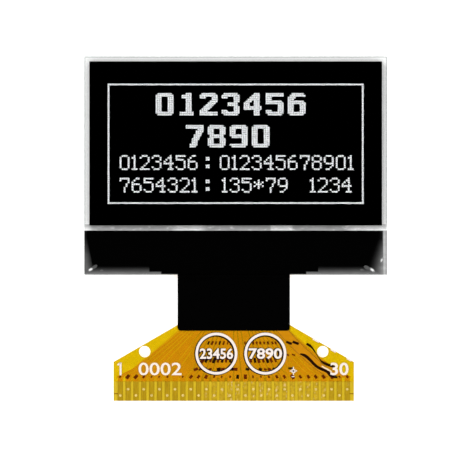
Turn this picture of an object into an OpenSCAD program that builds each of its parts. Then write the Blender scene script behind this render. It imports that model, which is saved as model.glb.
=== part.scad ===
// Small graphic OLED display module: two bonded sheets of glass, a driver chip under the glass ledge
// and a flexible tail with solder pads.
// X runs along the glass, Y from the tail up to the display and Z towards the viewer.
// The origin is in the middle of the glass outline, on the back face of the cap glass.

/* [Display] */
// Number of dot columns
dots_x = 128; // [64:2:128]
// Number of dot rows, led out to the two sides in turn
dots_y = 64; // [32:2:64]
// Distance between dot columns
dot_pitch_x = 0.1765; // [0.15:0.0005:0.18]
// Distance between dot rows
dot_pitch_y = 0.166; // [0.14:0.001:0.2]
// Gap between two anode columns
column_gap = 0.02; // [0.01:0.005:0.04]
// Gap between two cathode rows
row_gap = 0.03; // [0.025:0.005:0.05]

/* [Glass] */
// Width of both sheets of glass
panel_w = 26.7; // [26.7:0.1:36]
// Height of the front sheet
panel_h = 19.26; // [19.26:0.02:26]
// Height of the ledge that the cap glass leaves free
ledge_h = 3.9; // [3.7:0.05:5.2]
// Thickness of the front sheet
substrate_t = 0.7; // [0.4:0.05:1.1]
// Thickness of the cap glass
cap_t = 0.52; // [0.4:0.02:1.1]
// Depth of the hollow etched into the cap glass
cavity_depth = 0.25; // [0.22:0.01:0.3]
// Width of the rim left around that hollow
cap_rim = 1.2; // [0.9:0.05:1.5]
// Corner radius of the hollow
cavity_r = 0.8; // [0.4:0.1:1.5]
// Width of the seal bead on the rim
seal_w = 0.85; // [0.6:0.05:1]
// Distance of the seal bead from the edge of the cap glass
seal_inset = 0.12; // [0.05:0.01:0.25]
// Thickness of the seal bead
seal_t = 0.02; // [0.02:0.005:0.04]

/* [Polarizer] */
// Thickness of the polarizing film
polarizer_t = 0.18; // [0.1:0.01:0.25]
// Thickness of its adhesive
polarizer_glue_t = 0.02; // [0.01:0.005:0.05]
// Glass left bare on the left and the right
polarizer_side_margin = 0.5; // [0.2:0.05:1]
// Glass left bare along the top
polarizer_top_margin = 0.5; // [0.2:0.05:1]
// Glass left bare between the film and the edge of the cap glass
polarizer_bottom_margin = 0.45; // [0.2:0.05:1]

/* [Layers on the glass] */
// Thickness of each electrode, lead and organic layer
layer_t = 0.01; // [0.01:0.001:0.012]
// How far the insulator frame reaches past the dots
insulator_margin = 0.12; // [0.08:0.01:0.15]
// Width of a separator rib at its foot on the insulator
separator_foot = 0.01; // [0.008:0.001:0.012]
// Width of a separator rib at its overhanging top
separator_top = 0.018; // [0.014:0.001:0.02]
// Height of a separator rib
separator_h = 0.035; // [0.025:0.005:0.05]
// Length of the contact tab at the end of a cathode row
row_tab_l = 0.14; // [0.1:0.01:0.2]
// Distance from the last dot to the first upright row lead
row_lane_start = 0.4; // [0.35:0.01:0.5]
// Distance between the upright row leads
row_lane_pitch = 0.038; // [0.03:0.001:0.04]
// Distance between the fanned leads, measured upright
fan_pitch = 0.031; // [0.028:0.001:0.033]
// Width of a fanned lead
lead_w = 0.018; // [0.012:0.001:0.02]

/* [Desiccant] */
// Width of the desiccant sheet
desiccant_w = 20; // [10:0.5:22]
// Height of the desiccant sheet
desiccant_h = 8; // [4:0.5:10]
// Thickness of the desiccant sheet
desiccant_t = 0.12; // [0.08:0.01:0.15]
// Thickness of its adhesive
desiccant_glue_t = 0.03; // [0.02:0.005:0.04]

/* [Driver chip] */
// Length of the chip
chip_w = 6.76; // [6.6:0.02:9]
// Width of the chip
chip_d = 0.86; // [0.7:0.02:1.2]
// Thickness of the chip
chip_t = 0.3; // [0.2:0.01:0.34]
// Distance from the cap glass to the chip
chip_gap = 0.96; // [0.9:0.02:1.2]
// Distance between two output bumps
output_pitch = 0.034; // [0.03:0.001:0.034]
// Distance between two input bumps
input_pitch = 0.22; // [0.15:0.01:0.225]
// Width of an output bump, and of an input bump
bump_w = [0.02, 0.07];
// Length of a bump
bump_l = 0.1; // [0.06:0.01:0.14]
// Height of a bump
bump_t = 0.015; // [0.012:0.001:0.02]
// Distance from the chip's edge to the bumps
bump_inset = 0.04; // [0.02:0.01:0.08]
// How far the bond film reaches past the chip
chip_film_margin = 0.15; // [0.05:0.01:0.2]

/* [Resin] */
// How far the resin stops short of the lower edge of the glass
resin_clear = 0.85; // [0.6:0.05:1]
// Slant of the resin's sides, from its top to its lower edge
resin_slant = 0.7; // [0.3:0.05:1]
// Distance from the resin's upper corners to the sides of the glass
resin_side = 0.12; // [0.05:0.01:0.5]
// Height of the resin over the chip's back
resin_cover = 0.07; // [0.03:0.01:0.1]
// Slope of the resin's flanks, measured along the glass
resin_flank = 0.45; // [0.2:0.05:0.5]
// Radius of the resin's lower corners
resin_r = 0.5; // [0.3:0.05:0.8]

/* [Tail] */
// Number of pads
pins = 30; // [20:1:30]
// Distance between two pads
pad_pitch = 0.69; // [0.62:0.01:0.7]
// Width of a pad
pad_w = 0.45; // [0.3:0.01:0.5]
// Length of a pad, from the end of the tail to the coverlay
pad_l = 1.72; // [1.4:0.02:2]
// Width of the tail at the pads
tail_w = 21.2; // [21:0.1:28]
// Length of the tail, from the glass to its end
tail_l = 11.12; // [10.4:0.02:16]
// Width of the neck
neck_w = 9.9; // [9:0.1:12]
// Length of the straight neck, from the glass
neck_l = 4.42; // [3:0.02:4.6]
// Angle of the flare below the neck, from the X axis
flare_angle = 30; // [20:1:40]
// Width of the bonded head
head_w = 14.9; // [13.5:0.1:18]
// Length of glass that the head covers
head_l = 1.5; // [1.3:0.05:1.5]
// Width of the step between the head and the neck
shoulder_w = 12.8; // [12.4:0.1:13.2]
// Distance from the lower edge of the glass up to the head
head_step = 0.31; // [0.2:0.01:0.5]
// Distance from the lower edge of the glass up to the step
shoulder_step = 0.1; // [0.05:0.01:0.15]
// Radius of the head's corners
head_r = 0.25; // [0.1:0.05:0.4]
// How far the tail lies left of the middle of the glass
tail_offset = 0.17; // [0:0.01:0.5]
// Thickness of the base film
base_t = 0.05; // [0.02:0.005:0.08]
// Thickness of the copper
copper_t = 0.018; // [0.012:0.001:0.02]
// Thickness of the coverlay above the copper
coverlay_t = 0.025; // [0.02:0.005:0.04]
// Thickness of the bond film between the tail and the glass
tail_film_t = 0.01; // [0.01:0.001:0.014]

/* [Traces] */
// Gap between two traces
trace_gap = 0.1; // [0.06:0.01:0.12]
// Distance from the neck's sides to the copper
neck_copper_edge = 0.3; // [0.2:0.02:0.4]
// Heights above the pads at which the fan of traces bends
bend_up = [0.44, 1.1, 2.16, 3.44];
// Distance between two traces at each of those bends
bend_pitch = [0.69, 0.6, 0.51, 0.4];
// Pins that share one wide trace, as first and last pin
shared_pins = [[5, 6], [8, 9], [13, 15], [18, 19], [29, 30]];
// Pin without a trace
open_pin = 28; // [0:1:30]

/* [Holes in the tail] */
// Diameter of the two locating holes
hole_d = 1; // [0.8:0.05:1.1]
// Distance between the locating holes
hole_spacing = 15.7; // [15:0.1:17]
// Height of the locating holes above the tail's end
hole_up = 4.34; // [3.9:0.02:4.6]
// Copper kept away from the edge of a locating hole
hole_clear = 0.15; // [0.1:0.01:0.2]
// Outer diameter of a via
via_d = 0.22; // [0.18:0.01:0.28]
// Bore of a via
via_bore = 0.14; // [0.1:0.01:0.16]
// Height of the vias above the tail's end, on odd and on even pads
via_up = [0.48, 1.03];

/* [Neck shield] */
// Length of the black shield on the neck, from the glass
shield_l = 4.93; // [4:0.01:5.1]
// Thickness of the shield
shield_t = 0.03; // [0.02:0.005:0.05]
// Radius of its lower corners
shield_r = 0.3; // [0.1:0.05:0.5]
// Width of the bead along the glass edge
bead_w = 0.3; // [0.2:0.02:0.4]

/* [Hidden] */

// Outline of the glass, and the line where the cap glass ends and the ledge starts
glass_top = panel_h / 2;
glass_bottom = -panel_h / 2;
cap_edge = glass_bottom + ledge_h;
cap_h = panel_h - ledge_h;
cap_mid = cap_edge + cap_h / 2;

// Heights, from the back of the cap glass up to the viewer
seal_z = cap_t;
lead_z = seal_z + seal_t;
glass_z = lead_z + layer_t;
glue_z = glass_z + substrate_t;
polarizer_z = glue_z + polarizer_glue_t;
organic_z = lead_z - layer_t;
cathode_z = organic_z - layer_t;
cavity_z = cap_t - cavity_depth;

// The polarizer covers the cap glass but for its margins, and the dots lie in its middle
polarizer_w = panel_w - 2 * polarizer_side_margin;
polarizer_h = cap_h - polarizer_top_margin - polarizer_bottom_margin;
dots_mid = cap_edge + polarizer_bottom_margin + polarizer_h / 2;
dots_w = dots_x * dot_pitch_x;
dots_h = dots_y * dot_pitch_y;
anode_end = dots_mid - dots_h / 2 - insulator_margin;
tab_x = dots_w / 2 + insulator_margin;

// The chip, its two rows of bumps and the leads that fan out from them
chip_top = cap_edge - chip_gap;
chip_bottom = chip_top - chip_d;
chip_z = lead_z - bump_t - chip_t;
output_y = chip_top - bump_inset - bump_l;
input_y = chip_bottom + bump_inset;
side_columns = dots_x / 2;
side_rows = dots_y / 2;
side_leads = side_columns + side_rows;
fan_clear = 0.15;
last_bump_x = output_x(side_leads - 1);
fan_room = anode_end - chip_top - 2 * fan_clear;
fan_run = column_x(side_columns - 1) - last_bump_x;
fan_reach = (last_bump_x - column_x(0)) / fan_run;
// Taller dots leave less room above the chip, and the fan closes up to fit it
fan_step = min(fan_pitch, fan_room * (1 + fan_reach) / (side_leads - 1 + side_rows * fan_reach));
fan_slope = (fan_room - side_rows * fan_step) / fan_run;
fan_foot = chip_top + fan_clear + (side_leads - 1) * fan_step - fan_slope * last_bump_x;

// The tail: where its ends lie, and its layers from the glass down
tail_x = -tail_offset;
tail_end = glass_bottom - tail_l;
head_top = glass_bottom + head_l;
flare_end = glass_bottom - neck_l - (tail_w - neck_w) / 2 * tan(flare_angle);
finger_w = (neck_w - 2 * neck_copper_edge - (pins - 1) * trace_gap) / pins;
finger_pitch = finger_w + trace_gap;
copper_z = lead_z - tail_film_t - copper_t;
base_z = copper_z - base_t;
back_copper_z = base_z - copper_t;
front_coverlay_z = copper_z + copper_t + coverlay_t;
back_coverlay_z = base_z - copper_t - coverlay_t;
coverlay_start = glass_bottom - bead_w;
coverlay_end = tail_end + pad_l;
shield_end = glass_bottom - shield_l;

// --- Places that several pieces share ---

// Middle of a dot column or of an output bump, counted outwards from the middle
function column_x(i) = (i + 0.5) * dot_pitch_x;
function output_x(i) = (i + 0.5) * output_pitch;
// Middle of an upright row lead, counted outwards
function lane_x(k) = dots_w / 2 + row_lane_start + k * row_lane_pitch;
// Height of a fanned lead at the distance x from the middle
function fan_y(i, x) = fan_foot - i * fan_step + fan_slope * x;
// Middle of a dot row, counted upwards
function row_y(j) = dots_mid - dots_h / 2 + (j + 0.5) * dot_pitch_y;
// Middle of a pin's trace where the traces lie pitch apart
function pin_x(p, pitch) = tail_x + (p - (pins + 1) / 2) * pitch;

// --- Shapes that repeat ---

// Adds a thickness to a flat shape
module layer(z, t) translate([0, 0, z]) linear_extrude(t) children();

module rect(w, h, at = [0, 0]) translate(at) square([w, h], center = true);

// A rectangle with round corners of radius r
module round_rect(w, h, r, at = [0, 0])
    translate(at) {
        square([w - 2 * r, h], center = true);
        square([w, h - 2 * r], center = true);
        for (sx = [-1, 1], sy = [-1, 1])
            translate([sx * (w / 2 - r), sy * (h / 2 - r)]) circle(r, $fn = 48);
    }

// Copies the children to the other side of the middle too
module both_sides() for (s = [0, 1]) mirror([s, 0]) children();

// Offset of the left edge of a strip at corner i of its path, for a strip 2 wide
function unit_normal(a, b) = [a[1] - b[1], b[0] - a[0]] / norm(b - a);
function mitre(path, i) =
    let (n0 = unit_normal(path[max(i - 1, 0)], path[max(i, 1)]),
         n1 = unit_normal(path[min(i, len(path) - 2)], path[min(i + 1, len(path) - 1)]))
    (n0 + n1) / (1 + n0 * n1);

// A strip of even width along a path, with mitred corners
module strip(path, w)
    polygon([
        for (i = [0 : len(path) - 1]) path[i] - mitre(path, i) * w / 2,
        for (i = [len(path) - 1 : -1 : 0]) path[i] + mitre(path, i) * w / 2
    ]);

// A ribbon through levels of [y, left edge, right edge], from the lowest up
module ribbon(levels)
    polygon([
        for (l = levels) [l[2], l[0]],
        for (i = [len(levels) - 1 : -1 : 0]) [levels[i][1], levels[i][0]]
    ]);

// --- Flat shapes that several layers share ---

module dot_columns()
    both_sides()
        for (i = [0 : side_columns - 1])
            translate([column_x(i), anode_end])
                translate([-(dot_pitch_x - column_gap) / 2, 0])
                    square([dot_pitch_x - column_gap, dots_h + insulator_margin]);

// The tail's film, from the bonded head down to the straight stretch with the pads
module tail_outline(top = head_top, bottom = tail_end)
    intersection() {
        translate([tail_x, 0])
            union() {
                translate([0, glass_bottom + head_step]) round_head();
                rect(shoulder_w, head_step, [0, glass_bottom + shoulder_step + head_step / 2]);
                ribbon([
                    [tail_end, -tail_w / 2, tail_w / 2], [flare_end, -tail_w / 2, tail_w / 2],
                    [glass_bottom - neck_l, -neck_w / 2, neck_w / 2],
                    [glass_bottom + head_step, -neck_w / 2, neck_w / 2]
                ]);
            }
        translate([-panel_w, bottom]) square([2 * panel_w, top - bottom]);
    }

module round_head() {
    h = head_l - head_step;
    round_rect(head_w, h, head_r, [0, h / 2]);
}

// The locating holes, wider by grow on every side
module locating_holes(grow = 0)
    for (s = [-1, 1])
        translate([tail_x + s * hole_spacing / 2, tail_end + hole_up])
            circle(hole_d / 2 + grow, $fn = 64);

module pads() for (p = [1 : pins]) rect(pad_w, pad_l, [pin_x(p, pad_pitch), tail_end + pad_l / 2]);

module vias(d)
    for (p = [1 : pins])
        translate([pin_x(p, pad_pitch), tail_end + via_up[(p + 1) % 2]]) circle(d = d, $fn = 32);

// The traces: a stub above each pad, and one ribbon for each net that fans in to the neck
module trace_fan()
    difference() {
        union() {
            for (p = [1 : pins])
                rect(pad_w, bend_up[0], [pin_x(p, pad_pitch), coverlay_end + bend_up[0] / 2]);
            for (net = nets) ribbon([for (l = fan_levels) net_level(net, l)]);
        }
        locating_holes(hole_clear);
    }

// Each level of the fan: height, distance between traces and width of a single trace
fan_levels = concat(
    [[coverlay_end + bend_up[0] - trace_gap, bend_pitch[0], bend_pitch[0] - trace_gap]],
    [for (b = [0 : len(bend_up) - 1]) [coverlay_end + bend_up[b], bend_pitch[b], bend_pitch[b] - trace_gap]],
    [[shield_end, finger_pitch, finger_w], [head_top - head_r, finger_pitch, finger_w]]
);
function net_level(net, l) = [l[0], pin_x(net[0], l[1]) - l[2] / 2, pin_x(net[1], l[1]) + l[2] / 2];

// Every net as [first pin, last pin]: the shared ones, and each other pin by itself
function pin_groups(p) = [for (g = shared_pins) if (g[0] <= p && p <= g[1]) g];
function net_of(p) = let (g = pin_groups(p)) len(g) > 0 ? [g[0][0], min(g[0][1], pins)] : [p, p];
nets = [for (p = [1 : pins]) if (p != open_pin && net_of(p)[0] == p) net_of(p)];

// --- Polarizer and front glass ---

module polarizer_film()
    color([0.05, 0.05, 0.06]) layer(polarizer_z, polarizer_t) rect(polarizer_w, polarizer_h, [0, dots_mid]);

module polarizer_adhesive()
    color([0.8, 0.8, 0.8]) layer(glue_z, polarizer_glue_t) rect(polarizer_w, polarizer_h, [0, dots_mid]);

module substrate_glass()
    color([0.8, 0.88, 0.86, 0.4]) layer(glass_z, substrate_t) rect(panel_w, panel_h);

// --- Display layers on the back of the front glass ---

module anode_columns() color([0.75, 0.8, 0.85]) layer(lead_z, layer_t) dot_columns();

// Fills the gaps between the anode columns and frames the dots
module pixel_insulator()
    color([0.5, 0.35, 0.2])
        layer(lead_z, layer_t)
            difference() {
                translate([-tab_x, anode_end]) square([2 * tab_x, dots_h + 2 * insulator_margin]);
                dot_columns();
            }

// Ribs with overhanging flanks, which part the rows when the cathode metal is laid down
module cathode_separators()
    color([0.35, 0.25, 0.15])
        for (j = [0 : dots_y])
            translate([-tab_x, row_y(j) - dot_pitch_y / 2, lead_z])
                rotate([90, 0, 90])
                    linear_extrude(2 * tab_x)
                        polygon([
                            [-separator_foot / 2, 0], [-separator_top / 2, -separator_h],
                            [separator_top / 2, -separator_h], [separator_foot / 2, 0]
                        ]);

module organic_rows()
    color([0.7, 0.75, 0.6])
        layer(organic_z, layer_t)
            for (j = [0 : dots_y - 1]) rect(dots_w + insulator_margin, dot_pitch_y - row_gap, [0, row_y(j)]);

// Each row runs past the dots at both ends and steps up to its lead at one of them
module cathode_rows()
    color([0.85, 0.85, 0.87])
        for (j = [0 : dots_y - 1]) {
            layer(cathode_z, layer_t)
                rect(2 * (tab_x + row_tab_l), dot_pitch_y - row_gap, [0, row_y(j)]);
            mirror([j % 2, 0, 0])
                layer(organic_z, layer_t)
                    rect(row_tab_l, dot_pitch_y - row_gap, [tab_x + row_tab_l / 2, row_y(j)]);
        }

// From the lower end of each anode column down the fan to its bump
module column_leads()
    color([0.6, 0.6, 0.62])
        layer(lead_z, layer_t)
            both_sides()
                for (i = [0 : side_columns - 1])
                    strip([
                        [column_x(i), anode_end], [column_x(i), fan_y(i, column_x(i))],
                        [output_x(i), fan_y(i, output_x(i))], [output_x(i), output_y]
                    ], lead_w);

// From each row's tab out to its upright lane, down beside the dots and along the fan to its bump
module row_leads()
    color([0.6, 0.6, 0.62])
        layer(lead_z, layer_t)
            for (j = [0 : dots_y - 1])
                mirror([j % 2, 0])
                    row_lead(floor(j / 2), row_y(j));

module row_lead(k, y) {
    i = side_columns + k;
    strip([
        [tab_x, y], [lane_x(k), y], [lane_x(k), fan_y(i, lane_x(k))],
        [output_x(i), fan_y(i, output_x(i))], [output_x(i), output_y]
    ], lead_w);
}

// From the chip's input bumps to the tail's fingers
module tail_leads()
    color([0.6, 0.6, 0.62])
        layer(lead_z, layer_t)
            for (p = [1 : pins]) {
                at_chip = (p - (pins + 1) / 2) * input_pitch;
                at_tail = pin_x(p, finger_pitch);
                ribbon([
                    [glass_bottom + shoulder_step, at_tail - finger_w / 2, at_tail + finger_w / 2],
                    [head_top + bump_inset, at_tail - finger_w / 2, at_tail + finger_w / 2],
                    [chip_bottom - bump_inset, at_chip - bump_w[1] / 2, at_chip + bump_w[1] / 2],
                    [input_y + bump_l, at_chip - bump_w[1] / 2, at_chip + bump_w[1] / 2]
                ]);
            }

// --- Cap glass and what it seals in ---

module seal_bead()
    color([0.8, 0.8, 0.78])
        layer(seal_z, seal_t)
            difference() {
                rect(panel_w - 2 * seal_inset, cap_h - 2 * seal_inset, [0, cap_mid]);
                round_rect(panel_w - 2 * (seal_inset + seal_w), cap_h - 2 * (seal_inset + seal_w),
                    cavity_r, [0, cap_mid]);
            }

module cap_glass()
    color([0.75, 0.85, 0.82, 0.5])
        difference() {
            layer(0, cap_t) rect(panel_w, cap_h, [0, cap_mid]);
            layer(cavity_z, cavity_depth + 1)
                round_rect(panel_w - 2 * cap_rim, cap_h - 2 * cap_rim, cavity_r, [0, cap_mid]);
        }

module desiccant_adhesive()
    color([0.9, 0.88, 0.8])
        layer(cavity_z, desiccant_glue_t) rect(desiccant_w, desiccant_h, [0, cap_mid]);

module desiccant_sheet()
    color([0.92, 0.92, 0.9])
        layer(cavity_z + desiccant_glue_t, desiccant_t) rect(desiccant_w, desiccant_h, [0, cap_mid]);

// --- Driver chip under the ledge ---

module driver_chip()
    color([0.25, 0.25, 0.28])
        layer(chip_z, chip_t) rect(chip_w, chip_d, [0, (chip_top + chip_bottom) / 2]);

// An output bump for each lead along the upper edge, and an input bump for each pin along the lower
module bump_plan() {
    both_sides()
        for (i = [0 : side_leads - 1]) rect(bump_w[0], bump_l, [output_x(i), output_y + bump_l / 2]);
    for (p = [1 : pins])
        rect(bump_w[1], bump_l, [(p - (pins + 1) / 2) * input_pitch, input_y + bump_l / 2]);
}

module chip_bumps() color([0.85, 0.7, 0.3]) layer(lead_z - bump_t, bump_t) bump_plan();

module chip_bond_film()
    color([0.3, 0.28, 0.25])
        layer(lead_z - bump_t, bump_t)
            difference() {
                chip_film_plan();
                bump_plan();
            }

module chip_film_plan()
    rect(chip_w + 2 * chip_film_margin, chip_d + 2 * chip_film_margin, [0, (chip_top + chip_bottom) / 2]);

// Black resin that fills the ledge from the cap glass down over the chip and the tail's head
module ledge_resin()
    color([0.04, 0.04, 0.04])
        difference() {
            hull() {
                layer(lead_z - layer_t, layer_t) resin_plan(0);
                layer(chip_z - resin_cover, layer_t) resin_plan(resin_flank);
            }
            layer(chip_z, chip_t) rect(chip_w, chip_d, [0, (chip_top + chip_bottom) / 2]);
            layer(lead_z - bump_t, bump_t + 1) chip_film_plan();
            layer(base_z, lead_z - base_z + 1) tail_outline();
        }

// The resin's outline, drawn in by inset on its three free sides
module resin_plan(inset) {
    top_x = panel_w / 2 - resin_side - inset;
    low_x = top_x - resin_slant - resin_r;
    low_y = glass_bottom + resin_clear + inset + resin_r;
    hull() {
        rect(2 * top_x, layer_t, [0, cap_edge - layer_t / 2]);
        for (s = [-1, 1]) translate([s * low_x, low_y]) circle(resin_r, $fn = 32);
    }
}

// --- Flexible tail ---

module tail_bond_film()
    color([0.12, 0.11, 0.1])
        layer(lead_z - tail_film_t, tail_film_t) tail_outline(bottom = glass_bottom + shoulder_step);

module tail_base_film()
    color([0.87, 0.68, 0.1])
        layer(base_z, base_t)
            difference() {
                tail_outline();
                locating_holes();
                vias(via_d);
            }

module front_traces() color([0.75, 0.45, 0.1]) layer(copper_z, copper_t) trace_fan();

module front_pads()
    color([0.72, 0.6, 0.15])
        layer(copper_z, copper_t)
            difference() {
                pads();
                vias(via_d);
            }

module back_pads()
    color([0.72, 0.6, 0.15])
        layer(back_copper_z, copper_t)
            difference() {
                pads();
                vias(via_d);
            }

module via_barrels()
    color([0.8, 0.65, 0.2])
        layer(back_copper_z, base_t + 2 * copper_t)
            difference() {
                vias(via_d);
                vias(via_bore);
            }

// The film that covers the traces, with the copper sunk into its adhesive
module front_coverlay()
    color([0.9, 0.6, 0.1, 0.6])
        difference() {
            layer(copper_z, copper_t + coverlay_t) coverlay_plan();
            layer(copper_z - 1, copper_t + 1) trace_fan();
        }

module back_coverlay()
    color([0.9, 0.6, 0.1, 0.6]) layer(back_coverlay_z, copper_t + coverlay_t) coverlay_plan();

module coverlay_plan()
    difference() {
        tail_outline(coverlay_start, coverlay_end);
        locating_holes();
    }

module neck_shield_front() color([0.03, 0.03, 0.03]) layer(front_coverlay_z, shield_t) shield_plan();

module neck_shield_back()
    color([0.03, 0.03, 0.03]) layer(back_coverlay_z - shield_t, shield_t) shield_plan();

// As wide as the neck, with its two lower corners rounded
module shield_plan() {
    h = coverlay_start - shield_end;
    intersection() {
        round_rect(neck_w, h + shield_r, shield_r, [tail_x, shield_end + (h + shield_r) / 2]);
        rect(neck_w, h, [tail_x, shield_end + h / 2]);
    }
}

// Quarter-round bead in the corner between the glass edge and the tail
module front_bead()
    color([0.04, 0.04, 0.04])
        translate([tail_x - neck_w / 2, glass_bottom, copper_z + copper_t])
            rotate([90, 0, 90])
                linear_extrude(neck_w)
                    intersection() {
                        circle(bead_w, $fn = 64);
                        translate([-bead_w, 0]) square(bead_w);
                    }

polarizer_film();
polarizer_adhesive();
substrate_glass();
anode_columns();
pixel_insulator();
cathode_separators();
organic_rows();
cathode_rows();
column_leads();
row_leads();
tail_leads();
seal_bead();
cap_glass();
desiccant_adhesive();
desiccant_sheet();
driver_chip();
chip_bumps();
chip_bond_film();
ledge_resin();
tail_bond_film();
tail_base_film();
front_traces();
front_pads();
back_pads();
via_barrels();
front_coverlay();
back_coverlay();
neck_shield_front();
neck_shield_back();
front_bead();
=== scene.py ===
"""Looks of a small OLED display module: finishes for its CAD nodes, and the printed and lit details on them.

Everything is in metres, in the frame of the CAD model: X along the glass, Y from the tail up to the display,
Z towards the viewer. Places are worked out from the boxes of the CAD nodes.
"""

import math
import random

import bmesh
import bpy
from bpy.props import FloatProperty, FloatVectorProperty, IntProperty, PointerProperty, StringProperty
from mathutils import Matrix, Vector


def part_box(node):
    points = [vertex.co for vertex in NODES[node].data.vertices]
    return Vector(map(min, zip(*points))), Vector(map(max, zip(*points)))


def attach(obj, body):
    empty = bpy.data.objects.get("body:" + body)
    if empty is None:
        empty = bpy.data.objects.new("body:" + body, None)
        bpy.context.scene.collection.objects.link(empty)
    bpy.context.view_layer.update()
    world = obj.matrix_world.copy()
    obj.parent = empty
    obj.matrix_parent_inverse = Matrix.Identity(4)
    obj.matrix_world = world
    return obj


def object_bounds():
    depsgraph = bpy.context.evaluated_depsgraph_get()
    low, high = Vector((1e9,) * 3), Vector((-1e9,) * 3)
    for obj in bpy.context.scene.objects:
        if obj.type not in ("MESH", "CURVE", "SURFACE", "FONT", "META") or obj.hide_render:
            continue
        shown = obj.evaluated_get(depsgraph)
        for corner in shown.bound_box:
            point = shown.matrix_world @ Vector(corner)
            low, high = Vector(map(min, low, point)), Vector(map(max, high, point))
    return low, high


bl_info = {
    "name": "Small OLED Module",
    "version": (1, 0, 0),
    "blender": (4, 5, 0),
    "location": "3D View > Sidebar > OLED Module",
    "description": "Finishes, lit dots and print for a small OLED display module",
    "category": "Object",
}

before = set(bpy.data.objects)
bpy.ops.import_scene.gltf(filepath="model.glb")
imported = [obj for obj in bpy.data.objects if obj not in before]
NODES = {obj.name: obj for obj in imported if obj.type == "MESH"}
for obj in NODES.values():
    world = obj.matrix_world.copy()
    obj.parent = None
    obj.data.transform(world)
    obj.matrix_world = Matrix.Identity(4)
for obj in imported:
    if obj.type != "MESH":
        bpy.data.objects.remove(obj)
CAD_LOW, CAD_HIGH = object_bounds()

# --- Places, from the boxes of the CAD nodes ---

MM = 0.001
MICRON = 0.000001
GLASS_LOW, GLASS_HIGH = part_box("substrate_glass")
CAP_LOW, CAP_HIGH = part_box("cap_glass")
FILM_LOW, FILM_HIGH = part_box("polarizer_film")
COLUMNS_LOW, COLUMNS_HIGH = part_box("anode_columns")
ROWS_LOW, ROWS_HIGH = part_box("organic_rows")
TAIL_LOW, TAIL_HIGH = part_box("tail_base_film")
PADS_LOW, PADS_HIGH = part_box("front_pads")
COVER_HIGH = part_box("front_coverlay")[1]
SHIELD_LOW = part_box("neck_shield_front")[0]
TAIL_X = (TAIL_LOW.x + TAIL_HIGH.x) / 2

DOT_COLUMNS = 128
DOT_ROWS = 64
PINS = 30
PIN_PITCH = 0.69 * MM


def pin_x(pin):
    """Distance of a pin from the middle of the tail."""
    return (pin - (PINS - 1) / 2) * PIN_PITCH


def on_cover(x, up):
    """A point on the front cover film, at a height above the pads in millimetres."""
    return Vector((x, PADS_HIGH.y + up * MM, COVER_HIGH.z))


# --- Settings that a user may change ---


def length(name, description, default):
    return FloatProperty(name=name, description=description, default=default, min=0.0, precision=6,
                         subtype="DISTANCE", unit="LENGTH")


def place(name, description, default):
    return FloatProperty(name=name, description=description, default=default, precision=6,
                         subtype="DISTANCE", unit="LENGTH")


def share(name, description, default):
    return FloatProperty(name=name, description=description, default=default, min=0.0, max=1.0,
                         subtype="FACTOR")


def amount(name, description, default, subtype="NONE", low=0.0):
    return FloatProperty(name=name, description=description, default=default, min=low, subtype=subtype)


def colour(name, description, default):
    return FloatVectorProperty(name=name, description=description, default=default, size=3,
                               min=0.0, max=1.0, subtype="COLOR")


def signs(name, description, default):
    return StringProperty(name=name, description=description, default=default)


class DisplaySettings(bpy.types.PropertyGroup):
    """The dots and what they show"""

    column_gap: length("Column Gap", "Gap between two dot columns", 0.02 * MM)
    row_gap: length("Row Gap", "Gap between two dot rows", 0.03 * MM)
    dot_height: length("Dot Height", "Thickness of a lit dot", 0.002 * MM)
    brightness: amount("Brightness", "Light of a dot as seen through the polarizer", 1.1)
    glow: colour("Glow", "Colour of the light", (0.93, 0.96, 1.0))
    through: colour("Through", "Share of the dots' light that the polarizer lets through", (0.42, 0.42, 0.42))
    back: colour("Back", "Share that it lets through of light thrown back by the layers",
                 (0.004, 0.004, 0.004))
    film: colour("Film", "Colour of the polarizer", (0.002, 0.002, 0.0025))
    line_1: signs("Line 1", "Large digits of the first line", "0123456")
    line_2: signs("Line 2", "Large digits of the second line", "7890")
    line_3: signs("Line 3", "Small digits of the third line", "0123456 : 012345678901")
    line_4: signs("Line 4", "Small digits of the fourth line", "7654321 : 135*79 1234")


class GlassSettings(bpy.types.PropertyGroup):
    """The two sheets of glass and what bonds them"""

    tint: colour("Tint", "Colour that the glass gives to what is behind it", (0.985, 0.988, 0.986))
    edge: colour("Ground Edge", "Colour of the ground arris along the edges", (0.84, 0.86, 0.855))
    sawn: colour("Sawn Edge", "Colour of the sawn sides", (0.36, 0.40, 0.385))
    arris: length("Arris", "Width of the ground arris along the edges", 0.13 * MM)
    seal: colour("Seal", "Colour of the seal bead", (0.88, 0.88, 0.88))
    resin: colour("Resin", "Colour of the black resin", (0.0005, 0.0005, 0.0005))


class TailSettings(bpy.types.PropertyGroup):
    """The flexible tail"""

    film: colour("Base Film", "Colour of the base film", (0.545, 0.39, 0.001))
    fan_film: colour("Fan Film", "Colour of the film between the traces", (0.43, 0.165, 0.001))
    fan_shade: colour("Fan Shade", "Colour of the film between the traces near the rings",
                      (0.14, 0.002, 0.0005))
    bare_film: colour("Bare Film", "Colour of the film between the pads", (0.55, 0.385, 0.015))
    copper: colour("Copper", "Colour of the traces", (0.40, 0.078, 0.0005))
    cover: colour("Cover Film", "Colour of the cover film", (0.76, 0.47, 0.0))
    cover_opacity: share("Cover Opacity", "Share of the light that the cover film stops", 0.3)
    pads: colour("Pads", "Colour of the plated pads", (0.385, 0.243, 0.004))
    worn_pads: colour("Worn Pads", "Colour of the pads in the middle of the row", (0.47, 0.308, 0.01))
    # This colour is also that of the painted shadows under the printed rings and digits
    mark: colour("Mark", "Colour of the dark marks between the traces", (0.006, 0.0015, 0.0005))
    faint_mark: colour("Faint Mark", "Colour of the weaker marks", (0.09, 0.012, 0.0005))
    seed: IntProperty(name="Seed", description="Small differences in size and place of the dark marks",
                      default=7, min=0, subtype="UNSIGNED")
    shield: colour("Shield", "Colour of the black shield", (0.0004, 0.0004, 0.0004))


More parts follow.
